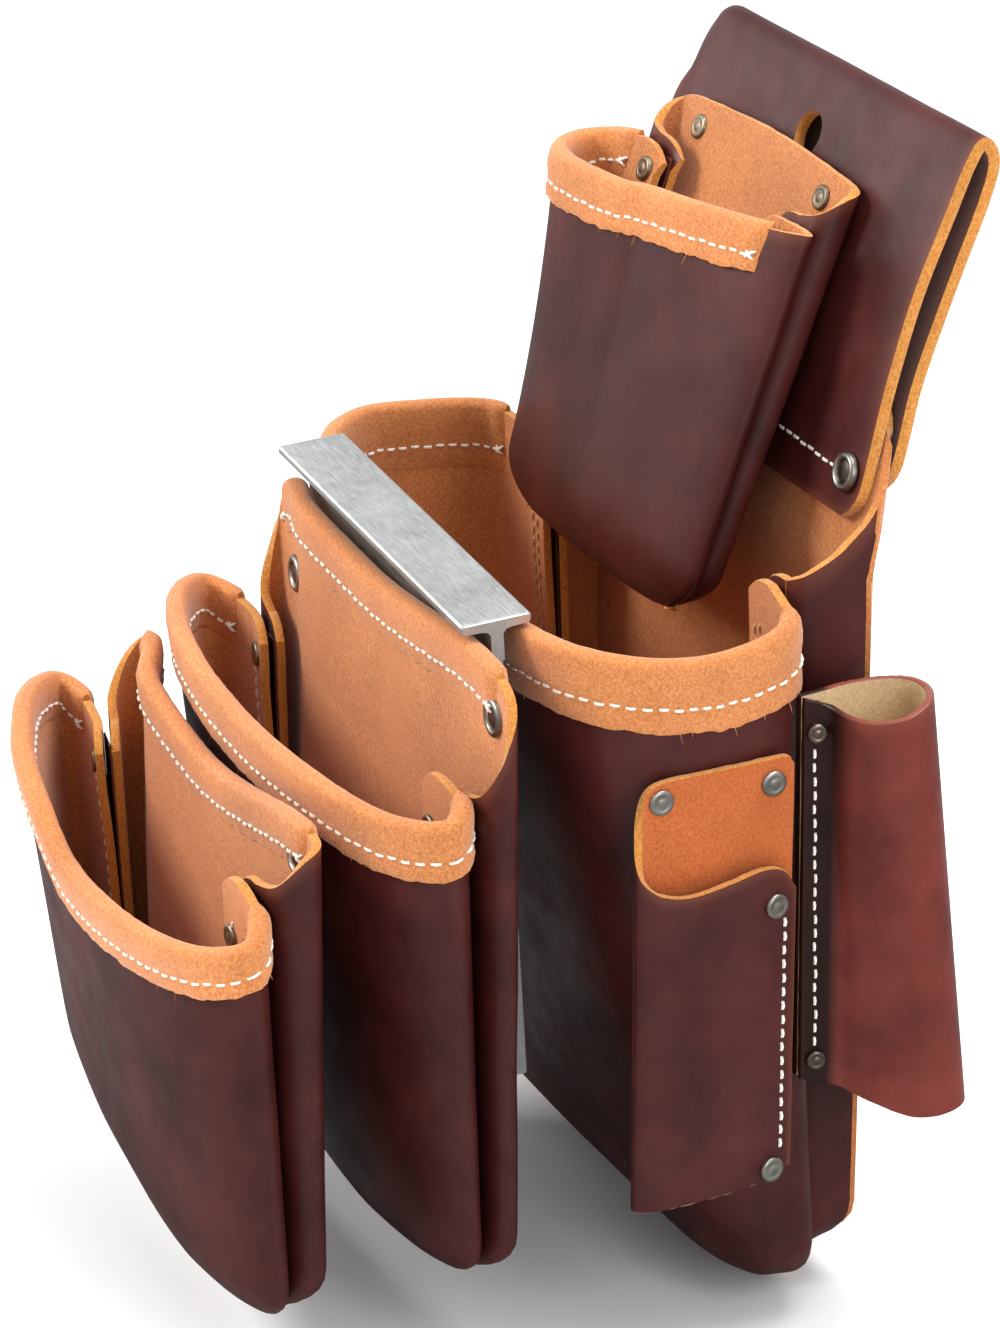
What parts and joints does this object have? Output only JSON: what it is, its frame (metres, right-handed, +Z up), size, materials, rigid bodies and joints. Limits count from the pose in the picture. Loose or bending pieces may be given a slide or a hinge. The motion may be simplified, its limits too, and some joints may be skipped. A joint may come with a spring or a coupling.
{
  "type": "tool pouch",
  "caption": "Leather multi-pouch tool bag that slides onto a belt: nested open pouches, folded belt loop, knife sleeve, side holster and a stowed metal layout square.",
  "frame": {"origin": "on the flat outer (rear) face of the main bag's back panel, in the middle of its width, 150 mm above the bottom of the main bag", "axes": "+X along the belt towards the holster, +Y out of the rear face towards the wearer, +Z up"},
  "size_m": [0.292, 0.3132, 0.425],
  "materials": {
    "dark_leather": "smooth waxed burgundy leather",
    "red_leather": "glossier red-brown leather",
    "suede": "tan suede",
    "nickel": "dull nickel plate",
    "aluminium": "brushed"
  },
  "bodies": {
    "bag": {"belt_loop": "dark_leather", "belt_loop_eyelet_left": "nickel", "belt_loop_eyelet_right": "nickel", "holster_rivet_lower": "nickel", "holster_rivet_upper": "nickel", "knife_sleeve": "dark_leather", "main_bag_back": "dark_leather", "main_bag_front": "dark_leather", "main_bag_rim_binding": "suede", "middle_pouch_back": "dark_leather", "middle_pouch_back_binding": "suede", "middle_pouch_ear_rivet_left": "nickel", "middle_pouch_ear_rivet_right": "nickel", "middle_pouch_front": "dark_leather", "middle_pouch_rim_binding": "suede", "middle_pouch_seam_rivet_left": "nickel", "middle_pouch_seam_rivet_right": "nickel", "outer_pouch_back": "dark_leather", "outer_pouch_back_binding": "suede", "outer_pouch_ear_rivet_left": "nickel", "outer_pouch_ear_rivet_right": "nickel", "outer_pouch_front": "dark_leather", "outer_pouch_rim_binding": "suede", "outer_pouch_seam_rivet_left": "nickel", "outer_pouch_seam_rivet_right": "nickel", "sleeve_rivet_lower": "nickel", "sleeve_rivet_tab_left": "nickel", "sleeve_rivet_tab_right": "nickel", "sleeve_rivet_upper": "nickel", "small_pouch_back": "dark_leather", "small_pouch_front": "dark_leather", "small_pouch_rim_binding": "suede", "small_pouch_seam_rivet_left": "nickel", "small_pouch_seam_rivet_right": "nickel", "small_pouch_top_rivet_left": "nickel", "small_pouch_top_rivet_right": "nickel", "tool_holster": "red_leather"},
    "square": {"layout_square": "aluminium"}
  },
  "joints": [
    {"name": "square_lift", "type": "slide", "parent": "bag", "child": "square", "axis": [0.0324, -0.0709, 0.997], "range_m": [0, 0.2]}
  ]
}
